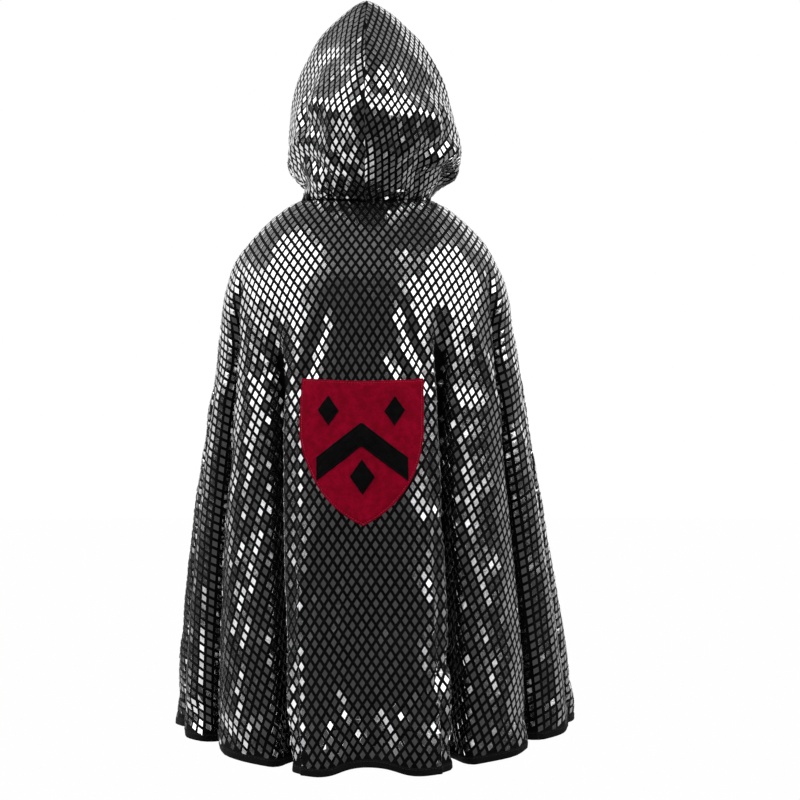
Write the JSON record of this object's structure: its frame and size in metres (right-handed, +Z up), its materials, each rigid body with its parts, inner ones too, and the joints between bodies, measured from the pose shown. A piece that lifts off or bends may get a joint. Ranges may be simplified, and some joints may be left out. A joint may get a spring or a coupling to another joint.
{
  "type": "reversible hooded cape",
  "caption": "Child's reversible hooded cape cut as a half circle, hanging open in deep folds, with a pointed hood, a bound hem, a felt shield on the back and a throat tab.",
  "frame": {"origin": "the middle of the neck seam, where the wearer's neck and shoulders hold the cape", "axes": "+Z is up, +Y is the way the wearer faces, +X is the wearer's right, so the cape's back faces -Y"},
  "size_m": [0.4557, 0.371, 0.8736],
  "materials": {
    "foil_cloth": "black cloth covered with small silver foil diamonds",
    "hood_cloth": "black cloth covered with small silver foil diamonds",
    "binding_tape": "matte black woven binding",
    "red_felt": "crimson felt",
    "black_felt": "black felt",
    "black_tape": "black hook and loop tape"
  },
  "bodies": {
    "root": {"cape_body": "foil_cloth", "hood_left": "hood_cloth", "hood_right": "hood_cloth", "hem_binding": "binding_tape", "shield_patch": "red_felt", "shield_chevron": "black_felt", "shield_lozenge_1": "black_felt", "shield_lozenge_2": "black_felt", "shield_lozenge_3": "black_felt", "throat_tab": "black_tape"}
  },
  "joints": []
}
